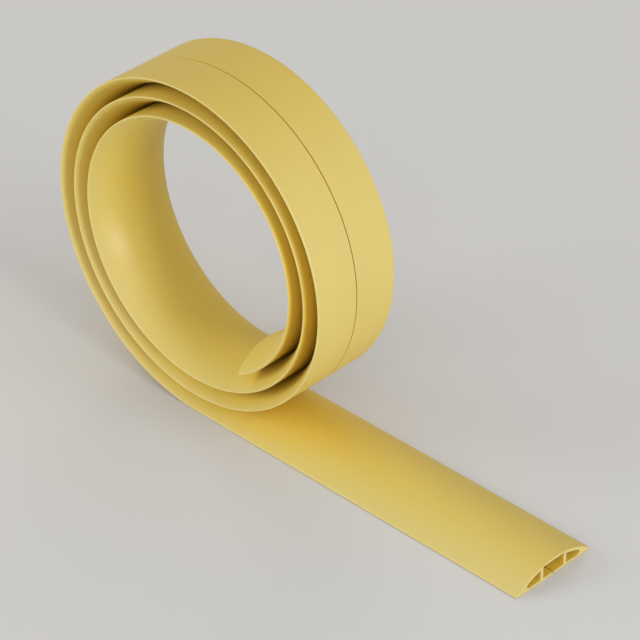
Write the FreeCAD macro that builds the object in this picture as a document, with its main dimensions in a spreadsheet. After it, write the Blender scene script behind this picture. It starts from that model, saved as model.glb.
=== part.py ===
# Floor cable cover: one extruded strip of flexible plastic, 6 feet long.
# Its outer end lies flat on the floor, dome side up, and the rest stands on it
# as a loose coil with the flat base outwards.
# X runs along the flat stretch towards its free end, Y across the strip, Z up.
import FreeCAD, Part
import math
import os

import Sketcher

V = FreeCAD.Vector
NODE = "cable_cover"

# Driving dimensions, in millimetres and degrees.
SIZES = {
    "strip_length": 1828.8,
    "strip_width": 58.0,
    "crest_height": 10.8,
    "lip_radius": 0.5,
    "base_thickness": 1.4,
    "roof_thickness": 1.8,
    "web_thickness": 2.1,
    "centre_channel_width": 16.0,
    "centre_channel_height": 7.6,
    "side_channel_width": 10.6,
    "slit_width": 0.6,
    "neutral_height": 4.1,
    "coil_radius": 104.0,
    "turn_gap": 0.2,
    "half_turns": 5,
    "last_sweep": 152.5,
}

# The points of a sketch element, and the sketch's own axes and origin.
START, END, CENTRE = 1, 2, 3
LEVEL = -1
UPRIGHT = -2
ORIGIN = (LEVEL, START)

# Directions from an arc's centre, in radians.
TOP = math.pi / 2
BOTTOM = -math.pi / 2


def make_sheet(doc):
    """Writes the driving dimensions into a spreadsheet, one alias each."""
    sheet = doc.addObject("Spreadsheet::Sheet", "Sizes")
    for row, (name, value) in enumerate(SIZES.items(), start=1):
        sheet.set(f"A{row}", name)
        sheet.set(f"B{row}", str(value))
        sheet.setAlias(f"B{row}", name)
    doc.recompute()
    return sheet


def origin_plane(body, role):
    return next(item for item in body.Origin.OriginFeatures if item.Role == role)


def new_sketch(body, name, role):
    sketch = body.newObject("Sketcher::SketchObject", name)
    sketch.AttachmentSupport = [(origin_plane(body, role), "")]
    sketch.MapMode = "FlatFace"
    return sketch


def add_line(sketch, start, end):
    return sketch.addGeometry(Part.LineSegment(V(*start), V(*end)))


def add_arc(sketch, centre, radius, start_angle, end_angle):
    """Adds an arc that runs anticlockwise from one angle to the other, in radians."""
    circle = Part.Circle(V(*centre), V(0, 0, 1), radius)
    return sketch.addGeometry(Part.ArcOfCircle(circle, start_angle, end_angle))


def constrain(sketch, *arguments):
    return sketch.addConstraint(Sketcher.Constraint(*arguments))


def bind(sketch, expression, *arguments):
    """Adds a constraint whose value follows an expression of the sheet's sizes."""
    index = constrain(sketch, *arguments)
    sketch.setExpression(f"Constraints[{index}]", expression)


def draw_half_section(body, sheet):
    """Half of the cross section, from the middle of the strip out to one edge."""
    sketch = new_sketch(body, "HalfSection", "YZ_Plane")

    # The elements start where the constraints will put them.
    slit = sheet.slit_width / 2
    wall = sheet.centre_channel_width / 2
    web = wall + sheet.web_thickness
    lip = sheet.lip_radius
    edge = sheet.strip_width / 2 - lip
    floor = sheet.base_thickness
    roof = floor + sheet.centre_channel_height
    crest = sheet.crest_height
    dome = (edge ** 2 + (crest - lip) ** 2 - lip ** 2) / (2 * (crest - 2 * lip))
    dome_centre = crest - dome
    lean = math.atan2(edge, lip - dome_centre)
    vault = dome - sheet.roof_thickness
    vault_foot = dome_centre + math.sqrt(vault ** 2 - web ** 2)
    far_wall = web + sheet.side_channel_width
    rise = floor - dome_centre
    slack = rise - far_wall + vault
    end = math.sqrt(slack ** 2 + vault ** 2 - far_wall ** 2 - rise ** 2) - slack
    end_centre = far_wall - end
    end_lean = math.atan2(end_centre, rise + end)

    # The outline: base, rounded lip, dome, and down the middle round the centre channel.
    base_line = add_line(sketch, (slit, 0), (edge, 0))
    lip_arc = add_arc(sketch, (edge, lip), lip, BOTTOM, TOP - lean)
    dome_arc = add_arc(sketch, (0, dome_centre), dome, TOP - lean, TOP)
    crest_line = add_line(sketch, (0, crest), (0, roof))
    roof_line = add_line(sketch, (0, roof), (wall, roof))
    wall_line = add_line(sketch, (wall, roof), (wall, floor))
    floor_line = add_line(sketch, (wall, floor), (slit, floor))
    slit_line = add_line(sketch, (slit, floor), (slit, 0))
    constrain(sketch, "Tangent", base_line, END, lip_arc, START)
    constrain(sketch, "Tangent", lip_arc, END, dome_arc, START)
    constrain(sketch, "Coincident", dome_arc, END, crest_line, START)
    constrain(sketch, "Coincident", crest_line, END, roof_line, START)
    constrain(sketch, "Coincident", roof_line, END, wall_line, START)
    constrain(sketch, "Coincident", wall_line, END, floor_line, START)
    constrain(sketch, "Coincident", floor_line, END, slit_line, START)
    constrain(sketch, "Coincident", slit_line, END, base_line, START)
    for element in (base_line, roof_line, floor_line):
        constrain(sketch, "Horizontal", element)
    for element in (wall_line, slit_line):
        constrain(sketch, "Vertical", element)
    for element, point in ((crest_line, START), (crest_line, END), (dome_arc, CENTRE)):
        constrain(sketch, "PointOnObject", element, point, UPRIGHT)
    bind(sketch, "Sizes.slit_width / 2", "DistanceX", *ORIGIN, base_line, START, slit)
    constrain(sketch, "PointOnObject", base_line, START, LEVEL)
    bind(sketch, "Sizes.strip_width / 2 - Sizes.lip_radius", "DistanceX", *ORIGIN, base_line, END, edge)
    bind(sketch, "Sizes.lip_radius", "Radius", lip_arc, lip)
    bind(sketch, "Sizes.crest_height", "DistanceY", *ORIGIN, crest_line, START, crest)
    bind(sketch, "Sizes.base_thickness", "DistanceY", *ORIGIN, floor_line, START, floor)
    bind(sketch, "Sizes.centre_channel_height", "DistanceY", wall_line, END, wall_line, START, roof - floor)
    bind(sketch, "Sizes.centre_channel_width / 2", "DistanceX", *ORIGIN, wall_line, START, wall)

    # The side channel: floor, round outer end, vault and web.
    side_floor = add_line(sketch, (web, floor), (end_centre, floor))
    end_arc = add_arc(sketch, (end_centre, floor + end), end, BOTTOM, TOP - end_lean)
    vault_lean = math.asin(web / vault)
    vault_arc = add_arc(sketch, (0, dome_centre), vault, TOP - end_lean, TOP - vault_lean)
    web_line = add_line(sketch, (web, vault_foot), (web, floor))
    vault_top = sketch.addGeometry(Part.Point(V(0, crest - sheet.roof_thickness)), True)
    end_top = sketch.addGeometry(Part.Point(V(far_wall, floor + end)), True)
    constrain(sketch, "Tangent", side_floor, END, end_arc, START)
    constrain(sketch, "Tangent", end_arc, END, vault_arc, START)
    constrain(sketch, "Coincident", vault_arc, END, web_line, START)
    constrain(sketch, "Coincident", web_line, END, side_floor, START)
    constrain(sketch, "Coincident", vault_arc, CENTRE, dome_arc, CENTRE)
    constrain(sketch, "Horizontal", side_floor)
    constrain(sketch, "Vertical", web_line)
    for point, carrier in ((vault_top, UPRIGHT), (vault_top, vault_arc), (end_top, end_arc)):
        constrain(sketch, "PointOnObject", point, START, carrier)
    constrain(sketch, "Horizontal", end_top, START, end_arc, CENTRE)
    bind(sketch, "Sizes.roof_thickness", "DistanceY", vault_top, START, crest_line, START, sheet.roof_thickness)
    bind(sketch, "Sizes.base_thickness", "DistanceY", *ORIGIN, side_floor, START, floor)
    bind(sketch, "Sizes.web_thickness", "DistanceX", wall_line, END, web_line, END, web - wall)
    bind(sketch, "Sizes.side_channel_width", "DistanceX", web_line, END, end_top, START, far_wall - web)
    return sketch


def half_turn_radius(turn):
    """Expression for the base's radius in one half turn: each is half a pitch tighter."""
    return f"(Sizes.coil_radius - {turn} * (Sizes.crest_height + Sizes.turn_gap) / 2)"


def draw_coil_path(body, sheet):
    """The base line of the coil: half turns about centres on the upright axis, then a shorter arc."""
    sketch = new_sketch(body, "CoilPath", "XZ_Plane")
    half_turns = int(sheet.half_turns)
    pitch = sheet.crest_height + sheet.turn_gap
    joint = ORIGIN
    height = 0
    for turn in range(half_turns + 1):
        last = turn == half_turns
        radius = sheet.coil_radius - turn * pitch / 2
        sweep = math.radians(sheet.last_sweep) if last else math.pi
        # The strip climbs on the left and comes down on the right, against the arcs' own sense.
        start_angle, rise = (BOTTOM, radius) if turn % 2 == 0 else (TOP, -radius)
        arc = add_arc(sketch, (0, height + rise), radius, start_angle - sweep, start_angle)
        constrain(sketch, "Coincident", arc, END, *joint)
        constrain(sketch, "PointOnObject", arc, CENTRE, UPRIGHT)
        bind(sketch, half_turn_radius(turn), "Radius", arc, radius)
        if last:
            bind(sketch, "Sizes.last_sweep * 1 deg", "Angle", arc, sweep)
        else:
            constrain(sketch, "PointOnObject", arc, START, UPRIGHT)
        height += 2 * rise
        joint = (arc, START)
    return sketch


def flat_length(sheet):
    """Expression for what the coil leaves of the strip, measured along its neutral line."""
    half_turns = int(sheet.half_turns)
    turns = range(half_turns + 1)
    lengths = [f"({half_turn_radius(turn)} - Sizes.neutral_height) * pi" for turn in turns]
    lengths[-1] += " * Sizes.last_sweep / 180"
    return "Sizes.strip_length - " + " - ".join(lengths)


def make_cover(doc, sheet):
    """The strip's near half, padded along the floor and swept round the coil, then mirrored."""
    body = doc.addObject("PartDesign::Body", "Cover")
    body.Label = NODE
    section = draw_half_section(body, sheet)
    path = draw_coil_path(body, sheet)
    doc.recompute()

    flat = body.newObject("PartDesign::Pad", "FlatStretch")
    flat.Profile = section
    flat.setExpression("Length", flat_length(sheet))

    coil = body.newObject("PartDesign::AdditivePipe", "Coil")
    coil.Profile = section
    coil.Spine = (path, [f"Edge{number}" for number in range(1, path.GeometryCount + 1)])

    mirror = body.newObject("PartDesign::Mirrored", "OtherHalf")
    mirror.Originals = [flat, coil]
    mirror.MirrorPlane = (origin_plane(body, "XZ_Plane"), [""])
    body.Tip = mirror

    # The origin is on the floor, under the middle of the whole.
    body.setExpression("Placement.Base.x", f"(Sizes.coil_radius - ({flat_length(sheet)})) / 2")
    doc.recompute()
    return body


def check(doc, body):
    """Stops if a feature failed or the strip is no sound solid."""
    for item in doc.Objects:
        if "Invalid" in item.State or "Error" in item.State:
            raise RuntimeError(f"{item.Name} failed: {item.State}")
    shape = body.Shape
    if shape.isNull() or not shape.isValid() or len(shape.Solids) != 1:
        raise RuntimeError("the strip is not one valid solid")


def main():
    os.makedirs("parts", exist_ok=True)
    doc = FreeCAD.newDocument("CableCover")
    sheet = make_sheet(doc)
    body = make_cover(doc, sheet)
    check(doc, body)
    body.Shape.exportStep(f"parts/{body.Label}.step")


main()
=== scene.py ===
# The looks of the floor cable cover: one smooth strip of yellow vinyl, half unrolled.
# The strip is swept again along the CAD model's own path, with rounded corners and with
# coordinates that run with it, so that its material can follow the extrusion.
import math

import bmesh
import bpy
from mathutils import Matrix, Vector
from mathutils.geometry import tessellate_polygon


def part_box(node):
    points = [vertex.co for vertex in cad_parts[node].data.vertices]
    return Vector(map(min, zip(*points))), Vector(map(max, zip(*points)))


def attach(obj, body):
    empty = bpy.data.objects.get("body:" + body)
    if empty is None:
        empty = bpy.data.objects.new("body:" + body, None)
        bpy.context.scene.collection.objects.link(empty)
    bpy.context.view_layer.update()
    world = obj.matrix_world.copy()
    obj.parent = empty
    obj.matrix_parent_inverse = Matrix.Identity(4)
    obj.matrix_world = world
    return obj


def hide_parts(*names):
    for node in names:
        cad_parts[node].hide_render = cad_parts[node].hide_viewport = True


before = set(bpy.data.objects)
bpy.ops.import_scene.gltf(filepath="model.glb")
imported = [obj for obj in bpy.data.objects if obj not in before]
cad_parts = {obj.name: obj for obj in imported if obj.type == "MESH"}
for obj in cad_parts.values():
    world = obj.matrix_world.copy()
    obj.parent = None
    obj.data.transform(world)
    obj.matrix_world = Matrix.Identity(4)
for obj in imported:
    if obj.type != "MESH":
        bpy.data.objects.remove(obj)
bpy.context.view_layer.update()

MM = 0.001
NODE = "cable_cover"
SLOT = "yellow_vinyl"
PIECE = "cover_strip"

# The angles of straight up and straight down.
TOP = math.pi / 2
BOTTOM = -math.pi / 2

# The coil's size and the strip's width and flat length come from the CAD model's box.
LOW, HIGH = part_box(NODE)
WIDTH = HIGH.y - LOW.y
COIL_RADIUS = (HIGH.z - LOW.z) / 2
LIFT_X = LOW.x + COIL_RADIUS
FLAT_LENGTH = HIGH.x - LIFT_X

# The strip's section, as in the CAD model.
CREST = 10.8 * MM
LIP = 0.5 * MM
BASE = 1.4 * MM
ROOF = 1.8 * MM
WEB = 2.1 * MM
CHANNEL_WIDTH = 16.0 * MM
CHANNEL_HEIGHT = 7.6 * MM
SIDE_WIDTH = 10.6 * MM
SLIT = 0.6 * MM

# What follows from it: the middle channel's wall, the lip's centre and the dome's arc.
WALL = CHANNEL_WIDTH / 2
EDGE = WIDTH / 2 - LIP
DOME = (EDGE ** 2 + (CREST - LIP) ** 2 - LIP ** 2) / (2 * (CREST - 2 * LIP))
DOME_CENTRE = CREST - DOME

# The way the strip winds: half turns, each half a pitch tighter, and a shorter last arc.
PITCH = CREST + 0.2 * MM
HALF_TURNS = 5
LAST_SWEEP = math.radians(152.5)

# Roundings: the channels' corners, the slit's mouth, the rims of the cut ends, and the
# stretch in which the lip's underside lifts off the base's level.
CORNER = 0.45 * MM
SLIT_CORNER = 0.15 * MM
CUT_EDGE = 0.12 * MM
EASE = 1.3 * MM

# How finely the strip is divided.
TURN_STEP = math.radians(3.0)
FLAT_STEP = 6 * MM
DOME_STEPS = 44
VAULT_STEPS = 10
END_STEPS = 8
EASE_STEPS = 8
CORNER_STEPS = 4
CUT_STEPS = 3

# The slack within which a point counts as on the middle channel's wall.
HAIR = 0.01 * MM

# The vinyl's colour by how open a place is to its surroundings, from 0 to 1: painted shade, darker and
# a deeper yellow in the gaps and hollows, and paler where it lies open to the light.
SHELTER_REACH = 0.25
SHELTER_SAMPLES = 6
SHADE_PAINTED_COLOURS = (
    (0.0, (0.52, 0.335, 0.032)),
    (0.12, (0.715, 0.492, 0.068)),
    (0.35, (0.695, 0.505, 0.088)),
    (0.6, (0.698, 0.487, 0.088)),
    (0.8, (0.664, 0.500, 0.126)),
    (0.95, (0.642, 0.500, 0.151)),
)

# Tints over that colour, painted light and shade. The dome is paler along its lit edge, as far in as
# PALE_EDGE, and warmer towards its shaded edge.
DOME_TINT = (1.015, 0.985, 0.83, 1)
DOME_PALE_TINT = (0.965, 0.987, 1.075, 1)
PALE_EDGE = -8 * MM

# The base is painted paler, as if lit, about one place along the strip, and fades back over two
# distances from it.
BASE_TINT = (1.01, 0.945, 0.73, 1)
BASE_PALE_TINT = (0.975, 0.985, 1.065, 1)
PALE_MIDDLE = 0.73
PALE_REACH = (0.03, 0.14)

# It is also painted paler, as if lit, near the coil's top on the inner turns, which begin this far
# along the strip.
TOP_TINT = (1.0, 1.05, 1.3, 1)
TOP_REACH = (0.13, 0.18)
INNER_START = (0.88, 0.95)

# The heights in the section over which the base's tint gives way to the dome's.
DOME_START = (0.1 * MM, 0.6 * MM)

# The lips' painted highlight: its colour, the places across the strip over which it sets in, and its
# share at the very edge.
LIP_HIGHLIGHT_COLOUR = (0.67, 0.53, 0.19, 1)
LIP_HIGHLIGHT_SPAN = (WIDTH / 2 - 1.3 * MM, WIDTH / 2 - 0.2 * MM)
LIP_SHARE = 0.7

# The colours inside the channels, a painted warm light that stands in for light falling and bouncing
# in them, and on the cut faces.
CHANNEL_LIGHT_COLOUR = (0.79, 0.535, 0.068, 1)
# The cut faces' paler colour is partly their own fresh matte cut and partly painted light where the
# lamps fall on them.
CUT_COLOUR = (0.645, 0.515, 0.192, 1)

# The scales of the noises along the strip, across it and up its section, and of the grain.
CLOUD_SCALE = (9.0, 40.0, 40.0)
LINE_SCALE = (2.5, 1300.0, 1300.0)
SAW_SCALE = (1.0, 500.0, 3500.0)
GRAIN_SCALE = 3200.0

# The span of a noise that counts, and how much it darkens or lightens the colour.
NOISE_SPAN = (0.3, 0.7)
TONE_SPAN = (0.985, 1.015)

# The vinyl's gloss: roughness, and the specular level from facing to glancing views.
ROUGHNESS_SPAN = (0.37, 0.43)
CUT_ROUGHNESS = 0.62
VINYL_IOR = 1.5
SPECULAR = 0.22
FACING_SPAN = (0.05, 0.3)
SPECULAR_SPAN = (0.45, 0.04)

# Strength and depth of the bumps.
GRAIN_BUMP = (0.2, 0.05 * MM)
LINE_BUMP = (0.35, 0.08 * MM)
SAW_DEPTH = 0.15 * MM

# The floor, a round sheet a little under the strip's base.
FLOOR_COLOUR = (0.668, 0.653, 0.620, 1)
FLOOR_ROUGHNESS = 0.9
FLOOR_SPECULAR = 0.2
FLOOR_RADIUS = 2.2
FLOOR_SIDES = 96
FLOOR_DROP = 0.18 * MM

# The camera, fitted to the photograph's edges.
CAMERA_AZIMUTH = math.radians(45.06)
CAMERA_ELEVATION = math.radians(34.67)
CAMERA_ROLL = math.radians(-1.007)
CAMERA_DISTANCE = 1.7805
CAMERA_TARGET = Vector((0.00291, -0.00022, 0.08097))
CAMERA_LENS = 186.19
SENSOR_WIDTH = 36

# The light from all round, and the backdrop that only the camera sees in its place.
WORLD_STRENGTH = 0.514
WORLD_TINT = (0.99, 0.98, 1.0, 1)
BACKDROP = (0.60, 0.59, 0.565, 1)

# The lamps: name, azimuth and elevation in degrees, size in metres, power in watts, and tint.
LAMPS = (
    ("lamp_key", 350, 5, 1.06, 91.0, (0.88, 0.95, 1.0)),
    ("lamp_right", 0, 35, 2.66, 60.5, (0.92, 0.95, 1.0)),
    ("lamp_front", 315, 35, 2.66, 28.3, (0.92, 0.95, 1.0)),
    ("lamp_near", 270, 12, 2.66, 38.4, (0.82, 0.94, 1.0)),
    ("lamp_left", 225, 12, 2.66, 105.5, (0.93, 0.98, 1.0)),
    ("lamp_back", 135, 35, 2.66, 28.4, (1.0, 0.90, 0.80)),
)
LAMP_DISTANCE = 4.8
LAMP_TARGET = Vector((0, 0, 0.07))


def arc_points(centre, radius, start, end, steps):
    """Points of an arc about a section point, both ends included."""
    angles = [start + (end - start) * step / steps for step in range(steps + 1)]
    return [Vector(centre) + radius * Vector((math.cos(a), math.sin(a))) for a in angles]


def round_corner(before, corner, after, radius):
    """The arc that rounds the corner between two straight runs."""
    corner = Vector(corner)
    back = (Vector(before) - corner).normalized()
    ahead = (Vector(after) - corner).normalized()
    half = back.angle(ahead) / 2
    centre = corner + (back + ahead).normalized() * radius / math.sin(half)
    start = corner + back * radius / math.tan(half) - centre
    end = corner + ahead * radius / math.tan(half) - centre
    turn = start.angle(end)
    points = []
    for step in range(CORNER_STEPS + 1):
        lean = turn * (0.5 - step / CORNER_STEPS)
        slide = start.lerp(end, 0.5 - math.tan(lean) / (2 * math.tan(turn / 2)))
        points.append(centre + slide.normalized() * radius)
    return points


def mirrored(points):
    """The same run on the other side of the strip, walked the other way."""
    return [Vector((-point.x, point.y)) for point in reversed(points)]


def outline():
    """The strip's outline, which goes in through the slit and round the middle channel."""
    slit, roof = SLIT / 2, BASE + CHANNEL_HEIGHT
    lean = math.atan2(EDGE, LIP - DOME_CENTRE)
    eased = WIDTH / 2 - EASE
    rises = [TOP * step / EASE_STEPS for step in range(EASE_STEPS)]

    # From the slit's mouth along the base, round the lip, and over half of the dome.
    half = round_corner((slit, BASE), (slit, 0), (EDGE, 0), SLIT_CORNER)
    half += [Vector((eased + EASE * math.sin(a), LIP * (1 - math.cos(a)))) for a in rises]
    half += arc_points((EDGE, LIP), LIP, 0, TOP - lean, CORNER_STEPS)
    half += arc_points((0, DOME_CENTRE), DOME, TOP - lean, TOP, DOME_STEPS // 2)[1:]
    points = half + mirrored(half)[1:]

    # Up through the slit and round the middle channel.
    corners = [(-slit, BASE), (-WALL, BASE), (-WALL, roof), (WALL, roof), (WALL, BASE), (slit, BASE)]
    radii = [SLIT_CORNER] + 4 * [CORNER] + [SLIT_CORNER]
    beyond = [(-slit, 0)] + corners + [(slit, 0)]
    for i, radius in enumerate(radii):
        points += round_corner(beyond[i], beyond[i + 1], beyond[i + 2], radius)
    return points


def side_channel():
    """One side channel, with a round outer end between its floor and its vault."""
    web = WALL + WEB
    vault = DOME - ROOF
    far_wall = web + SIDE_WIDTH
    rise = BASE - DOME_CENTRE
    slack = rise - far_wall + vault
    end = math.sqrt(slack ** 2 + vault ** 2 - far_wall ** 2 - rise ** 2) - slack
    end_centre = (far_wall - end, BASE + end)
    end_lean = math.atan2(far_wall - end, rise + end)
    web_lean = math.asin((web + CORNER) / vault)
    vault_run = arc_points((0, DOME_CENTRE), vault, TOP - web_lean, TOP - end_lean, VAULT_STEPS)
    shoulder = vault_run[0] + (vault_run[0] - vault_run[1]).normalized() * CORNER
    points = round_corner((end_centre[0], BASE), (web, BASE), (web, BASE + WEB), CORNER)
    points += round_corner((web, BASE), (web, shoulder.y), vault_run[1], CORNER)
    points += vault_run[1:]
    points += arc_points(end_centre, end, TOP - end_lean, BOTTOM, END_STEPS)[1:]
    return points


def in_middle_channel(place):
    """Whether a point of the section lies on or in the middle channel."""
    return abs(place.x) < WALL + HAIR and BASE - HAIR < place.y < BASE + CHANNEL_HEIGHT + HAIR


def loop_normals(loop):
    """Outward normals of a loop whose material is on its left."""
    normals = []
    for i in range(len(loop)):
        along = loop[(i + 1) % len(loop)] - loop[i - 1]
        normals.append(Vector((along.y, -along.x)).normalized())
    return normals


def stations():
    """Places along the base line from the free end inwards: point, direction of the dome, distance."""
    places = []
    steps = round(FLAT_LENGTH / FLAT_STEP)
    for step in range(steps + 1):
        distance = FLAT_LENGTH * step / steps
        places.append((Vector((HIGH.x - distance, 0, 0)), Vector((0, 0, 1)), distance))
    height = 0
    travelled = FLAT_LENGTH
    for turn in range(HALF_TURNS + 1):
        radius = COIL_RADIUS - turn * PITCH / 2
        sweep = LAST_SWEEP if turn == HALF_TURNS else math.pi
        start, rise = (BOTTOM, radius) if turn % 2 == 0 else (TOP, -radius)
        centre = Vector((LIFT_X, 0, height + rise))
        steps = round(sweep / TURN_STEP)
        for step in range(1, steps + 1):
            angle = start - sweep * step / steps
            away = Vector((math.cos(angle), 0, math.sin(angle)))
            places.append((centre + away * radius, -away, travelled + radius * sweep * step / steps))
        height += 2 * rise
        travelled += radius * sweep
    return places


def sweep_rings():
    """Rings of the sweep, with more of them where the cut ends' rims are rounded.

    Each has its point, the dome's direction, the distance along the strip, the inset of the
    section, the direction that the end faces, and how far the normals tilt that way.
    """
    places = stations()
    ends = []
    for index, sign in ((0, 1), (-1, -1)):
        point, up, distance = places[index]
        facing = Vector((0, 1, 0)).cross(up) * sign
        rings = []
        for step in range(CUT_STEPS, 0, -1):
            tilt = TOP * step / CUT_STEPS
            back = CUT_EDGE * (1 - math.sin(tilt))
            inset = CUT_EDGE * (1 - math.cos(tilt))
            rings.append((point - facing * back, up, distance, inset, facing, tilt))
        rings.append((point - facing * CUT_EDGE, up, distance, 0, facing, 0))
        ends.append(rings)
    first, last = ends
    middle = [(point, up, distance, 0, Vector(), 0) for point, up, distance in places[1:-1]]
    return first + middle + last[::-1]


def strip_faces(loops, ring_count):
    """Quads between neighbouring rings, and triangles that close both ends."""
    count = sum(len(loop) for loop in loops)
    faces = []
    for ring in range(ring_count - 1):
        start = ring * count
        for loop in loops:
            size = len(loop)
            for i in range(size):
                a = start + i
                b = start + (i + 1) % size
                faces.append((a, b, b + count, a + count))
            start += size
    cap = tessellate_polygon([[(p.x, p.y, 0) for p in loop] for loop in loops])
    far = (ring_count - 1) * count
    faces += [tuple(triangle) for triangle in cap]
    faces += [tuple(far + i for i in triangle) for triangle in cap]
    return faces


def orient(mesh):
    """Turns every face of a closed mesh outwards."""
    work = bmesh.new()
    work.from_mesh(mesh)
    bmesh.ops.recalc_face_normals(work, faces=work.faces)
    work.to_mesh(mesh)
    work.free()


def new_object(name, data):
    """An object in the scene, at the origin."""
    item = bpy.data.objects.new(name, data)
    bpy.context.scene.collection.objects.link(item)
    return item


def make_strip():
    """Sweeps the section along the path into one closed mesh with normals and strip coordinates."""
    channel = side_channel()
    loops = [outline(), channel, mirrored(channel)]
    normals = [loop_normals(loop) for loop in loops]
    rings = sweep_rings()
    vertices, shading, strip, cut, inside = [], [], [], [], []
    across = Vector((0, 1, 0))
    for point, up, distance, inset, facing, tilt in rings:
        for loop, outward in zip(loops, normals):
            for place, normal in zip(loop, outward):
                spot = place - normal * inset
                vertices.append(point + across * spot.x + up * spot.y)
                side = across * normal.x + up * normal.y
                shading.append(side * math.cos(tilt) + facing * math.sin(tilt))
                strip.extend((distance, spot.x, spot.y))
                cut.append(math.sin(tilt))
                inside.append(float(loop is not loops[0] or in_middle_channel(place)))

    mesh = bpy.data.meshes.new(PIECE)
    mesh.from_pydata(vertices, [], strip_faces(loops, len(rings)))
    orient(mesh)
    mesh.shade_smooth()
    mesh.normals_split_custom_set_from_vertices([tuple(n) for n in shading])
    mesh.attributes.new("strip", "FLOAT_VECTOR", "POINT").data.foreach_set("vector", strip)
    for name, values in (("cut", cut), ("inside", inside)):
        mesh.attributes.new(name, "FLOAT", "POINT").data.foreach_set("value", values)
    return new_object(PIECE, mesh)


class Nodes:
    """Short calls for building a material's node tree."""

    # The mix node's colour sockets share their names with others, so they go by number.
    MIX_FIRST, MIX_SECOND, MIX_RESULT = 6, 7, 2

    def __init__(self, name):
        self.material = bpy.data.materials.new(name)
        self.material.use_nodes = True
        self.tree = self.material.node_tree
        self.shader = self.tree.nodes["Principled BSDF"]

    def feed(self, socket, value):
        """Links another node's socket, or sets a plain value."""
        if isinstance(value, bpy.types.NodeSocket):
            self.tree.links.new(value, socket)
        else:
            socket.default_value = value

    def add(self, kind, inputs=(), **settings):
        node = self.tree.nodes.new(kind)
        for name, value in settings.items():
            setattr(node, name, value)
        for name, value in dict(inputs).items():
            self.feed(node.inputs[name], value)
        return node

    def shade(self, **inputs):
        """Feeds the shader's sockets, whose names are given with underscores."""
        for name, value in inputs.items():
            self.feed(self.shader.inputs[name.replace("_", " ")], value)

    def attribute(self, name, output):
        return self.add("ShaderNodeAttribute", attribute_name=name).outputs[output]

    def parts(self, vector):
        return self.add("ShaderNodeSeparateXYZ", {"Vector": vector}).outputs

    def calculated(self, operation, *values):
        return self.add("ShaderNodeMath", enumerate(values), operation=operation).outputs["Value"]

    def tinted(self, colour, tint):
        inputs = {0: colour, 1: tint}
        return self.add("ShaderNodeVectorMath", inputs, operation="MULTIPLY").outputs["Vector"]

    def noise(self, vector, scale=1.0, detail=2.0, roughness=0.5):
        inputs = {"Vector": vector, "Scale": scale, "Detail": detail, "Roughness": roughness}
        return self.add("ShaderNodeTexNoise", inputs).outputs["Fac"]

    def stretched(self, vector, scale):
        inputs = {"Vector": vector, "Scale": scale}
        return self.add("ShaderNodeMapping", inputs).outputs["Vector"]

    def ranged(self, value, span, result):
        """A value whose span is spread over the result's, and held at both ends."""
        names = ("Value", "From Min", "From Max", "To Min", "To Max")
        return self.add("ShaderNodeMapRange", zip(names, (value, *span, *result))).outputs["Result"]

    def ramp(self, value, stops):
        """Colours that follow a value, from stops of place and colour in rising order."""
        node = self.add("ShaderNodeValToRGB", {"Fac": value})
        elements = node.color_ramp.elements
        elements[1].position = stops[-1][0]
        elements[1].color = (*stops[-1][1], 1)
        elements[0].position = stops[0][0]
        elements[0].color = (*stops[0][1], 1)
        for place, colour in stops[1:-1]:
            elements.new(place).color = (*colour, 1)
        return node.outputs["Color"]

    def mixed(self, factor, first, second):
        node = self.add("ShaderNodeMix", data_type="RGBA")
        self.feed(node.inputs["Factor"], factor)
        self.feed(node.inputs[self.MIX_FIRST], first)
        self.feed(node.inputs[self.MIX_SECOND], second)
        return node.outputs[self.MIX_RESULT]

    def bump(self, height, strength, depth, beneath=None):
        """A normal that a height bumps, on top of the normal beneath it where there is one."""
        node = self.add("ShaderNodeBump", {"Height": height, "Strength": strength, "Distance": depth})
        if beneath is not None:
            self.feed(node.inputs["Normal"], beneath)
        return node.outputs["Normal"]


def painted_light_tint(nodes, distance, across, height):
    """Painted light and shade on the dome or the base: each is tinted paler where light falls on it
    and warmer where it is in shade.
    """
    near_edge = nodes.ranged(across, (-WIDTH / 2, PALE_EDGE), (1.0, 0.0))
    dome_tint = nodes.mixed(near_edge, DOME_TINT, DOME_PALE_TINT)

    away = nodes.calculated("ABSOLUTE", nodes.calculated("SUBTRACT", distance, PALE_MIDDLE))
    near_middle = nodes.ranged(away, PALE_REACH, (1.0, 0.0))
    base_tint = nodes.mixed(near_middle, BASE_TINT, BASE_PALE_TINT)
    level = nodes.parts(nodes.add("ShaderNodeTexCoord").outputs["Object"])["Z"]
    near_top = nodes.ranged(level, TOP_REACH, (0.0, 1.0))
    inner_top = nodes.ranged(distance, INNER_START, (0.0, near_top))
    base_tint = nodes.mixed(inner_top, base_tint, TOP_TINT)

    on_dome = nodes.ranged(height, DOME_START, (0.0, 1.0))
    return nodes.mixed(on_dome, base_tint, dome_tint)


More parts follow.
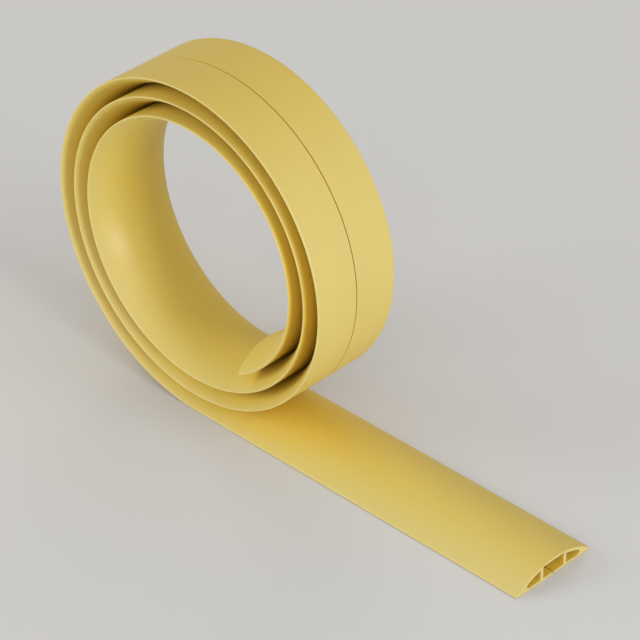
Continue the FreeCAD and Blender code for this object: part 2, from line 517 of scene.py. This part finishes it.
def vinyl_material():
    """Satin yellow vinyl with painted shade, deeper where it is sheltered, and painted light and
    highlights, with die lines, a fine grain and saw marks.
    """
    nodes = Nodes(SLOT)
    strip = nodes.attribute("strip", "Vector")
    distance, across, height = nodes.parts(strip)
    cut = nodes.attribute("cut", "Fac")
    inside = nodes.attribute("inside", "Fac")

    clouds = nodes.noise(nodes.stretched(strip, CLOUD_SCALE), detail=3.0)
    lines = nodes.noise(nodes.stretched(strip, LINE_SCALE), detail=3.0, roughness=0.6)
    grain = nodes.noise(strip, GRAIN_SCALE)
    saw = nodes.noise(nodes.stretched(strip, SAW_SCALE))

    # Painted shade: the colour turns darker and a deeper yellow where the surroundings close in, and
    # paler where they are open.
    shelter = nodes.add(
        "ShaderNodeAmbientOcclusion",
        {"Distance": SHELTER_REACH},
        samples=SHELTER_SAMPLES,
        only_local=True,
    )
    painted_shade = nodes.ramp(shelter.outputs["AO"], SHADE_PAINTED_COLOURS)
    patchy = nodes.ranged(clouds, NOISE_SPAN, TONE_SPAN)
    streaky = nodes.ranged(lines, NOISE_SPAN, TONE_SPAN)
    body = nodes.tinted(painted_shade, nodes.calculated("MULTIPLY", patchy, streaky))
    # Painted light and shade: paler tints on the lit sides, warmer ones on the shaded sides.
    body = nodes.tinted(body, painted_light_tint(nodes, distance, across, height))
    # Painted highlight: a paler colour along the lips' rounded edges.
    lip_highlight = nodes.ranged(nodes.calculated("ABSOLUTE", across), LIP_HIGHLIGHT_SPAN, (0.0, LIP_SHARE))
    body = nodes.mixed(lip_highlight, body, LIP_HIGHLIGHT_COLOUR)
    # Painted light: a brighter, deeper yellow inside the channels.
    body = nodes.mixed(inside, body, CHANNEL_LIGHT_COLOUR)
    # The cut faces: partly their own paler colour and partly painted light.
    colour = nodes.mixed(cut, body, CUT_COLOUR)

    worn = nodes.ranged(clouds, NOISE_SPAN, ROUGHNESS_SPAN)
    roughness = nodes.ranged(cut, (0.0, 1.0), (worn, CUT_ROUGHNESS))

    normal = nodes.bump(grain, *GRAIN_BUMP)
    normal = nodes.bump(lines, *LINE_BUMP, normal)
    normal = nodes.bump(saw, cut, SAW_DEPTH, normal)
    nodes.shade(Base_Color=colour, Roughness=roughness, Normal=normal, IOR=VINYL_IOR)

    # The specular level's socket keeps a plain value under its link.
    facing = nodes.add("ShaderNodeLayerWeight", {"Blend": 0.5}).outputs["Facing"]
    nodes.shade(Specular_IOR_Level=SPECULAR)
    nodes.shade(Specular_IOR_Level=nodes.ranged(facing, FACING_SPAN, SPECULAR_SPAN))
    return nodes.material


def make_floor():
    """A wide pale floor just under the strip's base."""
    nodes = Nodes("floor")
    nodes.shade(Base_Color=FLOOR_COLOUR, Roughness=FLOOR_ROUGHNESS, Specular_IOR_Level=FLOOR_SPECULAR)
    angles = [2 * math.pi * side / FLOOR_SIDES for side in range(FLOOR_SIDES)]
    rim = [(FLOOR_RADIUS * math.cos(a), FLOOR_RADIUS * math.sin(a), 0) for a in angles]
    mesh = bpy.data.meshes.new("floor")
    mesh.from_pydata(rim, [], [tuple(range(FLOOR_SIDES))])
    mesh.materials.append(nodes.material)
    floor = new_object("floor", mesh)
    floor.location.z = LOW.z - FLOOR_DROP


def make_camera():
    """The photograph's camera."""
    a, e, r = CAMERA_AZIMUTH, CAMERA_ELEVATION, CAMERA_ROLL
    back = Vector((math.sin(a) * math.cos(e), -math.cos(a) * math.cos(e), math.sin(e)))
    level = Vector((math.cos(a), math.sin(a), 0))
    upright = back.cross(level)
    right = level * math.cos(r) + upright * math.sin(r)
    up = back.cross(right)
    data = bpy.data.cameras.new("camera")
    data.lens = CAMERA_LENS
    data.sensor_width = SENSOR_WIDTH
    camera = new_object("camera", data)
    place = CAMERA_TARGET + back * CAMERA_DISTANCE
    camera.matrix_world = Matrix.Translation(place) @ Matrix((right, up, back)).transposed().to_4x4()
    bpy.context.scene.camera = camera


def make_lamp(name, azimuth, elevation, size, power, tint):
    """A square soft lamp that faces the part, from a direction given in degrees."""
    a, e = math.radians(azimuth), math.radians(elevation)
    away = Vector((math.cos(a) * math.cos(e), math.sin(a) * math.cos(e), math.sin(e)))
    data = bpy.data.lights.new(name, "AREA")
    data.size = size
    data.energy = power
    data.color = tint
    lamp = new_object(name, data)
    lamp.location = LAMP_TARGET + away * LAMP_DISTANCE
    lamp.rotation_mode = "QUATERNION"
    lamp.rotation_quaternion = (-away).to_track_quat("-Z", "Y")
    lamp.visible_camera = False


def make_world():
    """Even light from all round, with a plain backdrop for the camera in its place."""
    world = bpy.data.worlds.new("studio")
    world.use_nodes = True
    tree = world.node_tree
    light = tree.nodes["Background"]
    light.inputs["Color"].default_value = WORLD_TINT
    light.inputs["Strength"].default_value = WORLD_STRENGTH
    seen = tree.nodes.new("ShaderNodeBackground")
    seen.inputs["Color"].default_value = BACKDROP
    path = tree.nodes.new("ShaderNodeLightPath")
    either = tree.nodes.new("ShaderNodeMixShader")

    # The mix takes its factor, then what other rays meet, then what the camera sees.
    sources = (path.outputs["Is Camera Ray"], light.outputs["Background"], seen.outputs["Background"])
    for source, socket in zip(sources, either.inputs):
        tree.links.new(source, socket)
    tree.links.new(either.outputs["Shader"], tree.nodes["World Output"].inputs["Surface"])
    bpy.context.scene.world = world


strip = make_strip()
strip.data.materials.append(vinyl_material())
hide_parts(NODE)
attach(strip, "root")
make_floor()
make_camera()
make_world()
for lamp in LAMPS:
    make_lamp(*lamp)
bpy.context.scene.view_settings.view_transform = "Standard"
